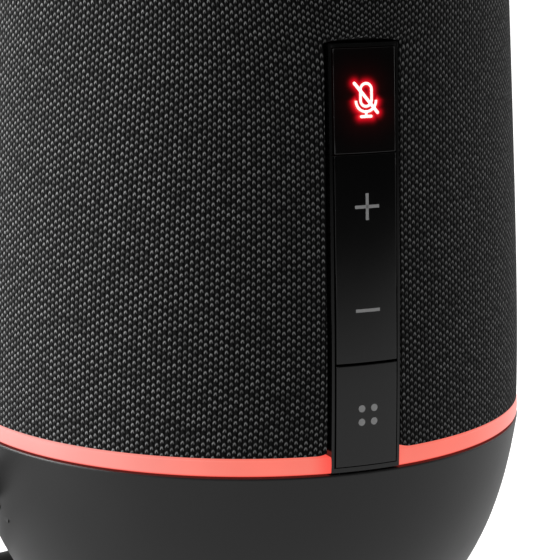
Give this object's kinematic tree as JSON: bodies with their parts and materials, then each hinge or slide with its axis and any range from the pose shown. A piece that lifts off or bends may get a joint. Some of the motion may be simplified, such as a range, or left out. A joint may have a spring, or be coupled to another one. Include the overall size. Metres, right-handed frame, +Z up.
{
  "type": "smart speaker",
  "caption": "Cloth-covered column speaker on a rounded plastic base, with a lit band, a front strip of push keys and a rocker, and a coiled power lead with wall adapter.",
  "frame": {"origin": "on the table, under the middle of the speaker's body", "axes": "+Z up; the key strip faces -Y and the power socket faces -X"},
  "size_m": [0.1789, 0.1827, 0.188],
  "materials": {
    "base_plastic": "satin, finely textured moulded plastic",
    "trim_plastic": "satin black moulded plastic",
    "cap_plastic": "satin black moulded plastic",
    "key_plastic": "smooth black key plastic",
    "frame_plastic": "plain moulded plastic",
    "light_diffuser": "lit frosted diffuser",
    "key_mark": "printed grey key mark",
    "mute_mark": "lit red key mark",
    "knit_cloth": "black speaker knit with light grey stitches",
    "foot_rubber": "soft moulded rubber",
    "lead_jacket": "satin black cord jacket",
    "tie_strap": "woven hook-and-loop strap",
    "adapter_plastic": "finely textured black plastic",
    "circuit_board": "solder-masked circuit board",
    "cone_paper": "pressed black cone pulp",
    "steel": "plain steel",
    "aluminium": "plain aluminium",
    "ferrite": "dull sintered ferrite",
    "copper": "plain copper"
  },
  "bodies": {
    "housing": {"base_shell": "base_plastic", "bottom_plate": "base_plastic", "foot_ring": "foot_rubber", "base_screw_1": "steel", "base_screw_2": "steel", "base_screw_3": "steel", "base_screw_4": "steel", "main_board": "circuit_board", "processor_shield": "steel", "power_inductor": "ferrite", "capacitor_1": "aluminium", "capacitor_2": "aluminium", "heat_spreader": "aluminium", "antenna_front": "copper", "antenna_rear": "copper", "dc_jack": "trim_plastic", "light_ring": "light_diffuser", "light_board": "circuit_board", "chassis_plate": "frame_plastic", "fabric_sleeve": "knit_cloth", "grille_frame": "frame_plastic", "top_trim_ring": "trim_plastic", "top_cap": "cap_plastic", "microphone_board": "circuit_board", "button_bezel": "trim_plastic", "key_board": "circuit_board", "action_switch": "steel", "volume_down_switch": "steel", "volume_up_switch": "steel", "mute_switch": "steel", "enclosure": "frame_plastic", "passive_radiator_left": "foot_rubber", "passive_radiator_right": "foot_rubber", "woofer_basket": "steel", "woofer_magnet": "ferrite", "voice_coil": "copper", "woofer_cone": "cone_paper", "woofer_surround": "foot_rubber", "woofer_dust_cap": "cone_paper", "tweeter_housing": "frame_plastic", "tweeter_left": "cone_paper", "tweeter_right": "cone_paper", "dc_plug": "lead_jacket", "power_cord": "lead_jacket", "cord_coil": "lead_jacket", "coil_tie": "tie_strap", "cord_tail": "lead_jacket", "adapter_relief": "lead_jacket", "adapter_shell": "adapter_plastic", "adapter_pin_1": "steel", "adapter_pin_2": "steel"},
    "mute_key": {"mute_button": "key_plastic"},
    "volume_key": {"volume_rocker": "key_plastic"},
    "action_key": {"action_button": "key_plastic"}
  },
  "joints": [
    {"name": "mute_press", "type": "slide", "parent": "housing", "child": "mute_key", "axis": [0, 1, 0], "range_m": [0, 0.0005], "stiffness_N_per_m": 1500},
    {"name": "volume_rock", "type": "hinge", "parent": "housing", "child": "volume_key", "pos_m": [0, -0.0535, 0.0859], "axis": [1, 0, 0], "range_deg": [-1.5, 1.5], "stiffness_Nm_per_rad": 0.4},
    {"name": "action_press", "type": "slide", "parent": "housing", "child": "action_key", "axis": [0, 1, 0], "range_m": [0, 0.0005], "stiffness_N_per_m": 1500}
  ]
}
